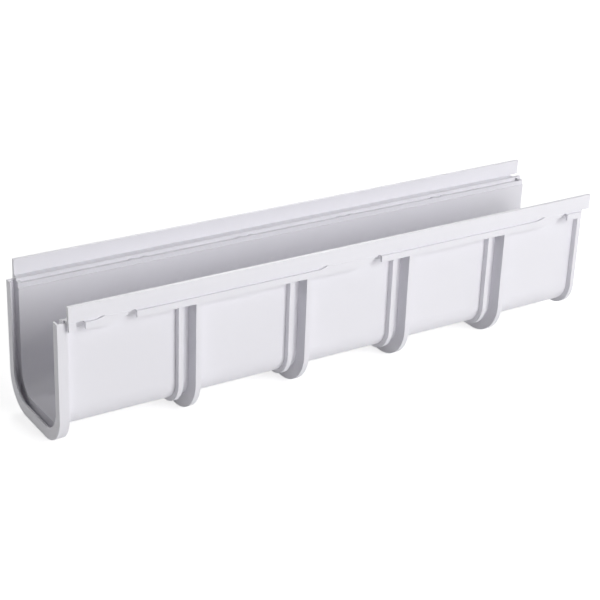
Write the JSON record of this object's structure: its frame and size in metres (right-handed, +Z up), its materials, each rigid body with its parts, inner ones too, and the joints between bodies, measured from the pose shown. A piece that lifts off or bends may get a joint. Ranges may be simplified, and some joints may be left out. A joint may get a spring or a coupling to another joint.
{
  "type": "channel drain",
  "caption": "Round-bottomed moulded channel drain body with outside hoops, stepped grating seats between upright strips, a socket at one end and a flange at the other.",
  "frame": {"origin": "middle of the bounding box, on the plane the deep hoops stand on", "axes": "+X along the drain from the socket to the flange, +Z up, Y across"},
  "size_m": [0.5072, 0.1028, 0.121],
  "materials": {
    "pvc": "smooth moulded, slight sheen"
  },
  "bodies": {
    "root": {"channel_body": "pvc"}
  },
  "joints": []
}
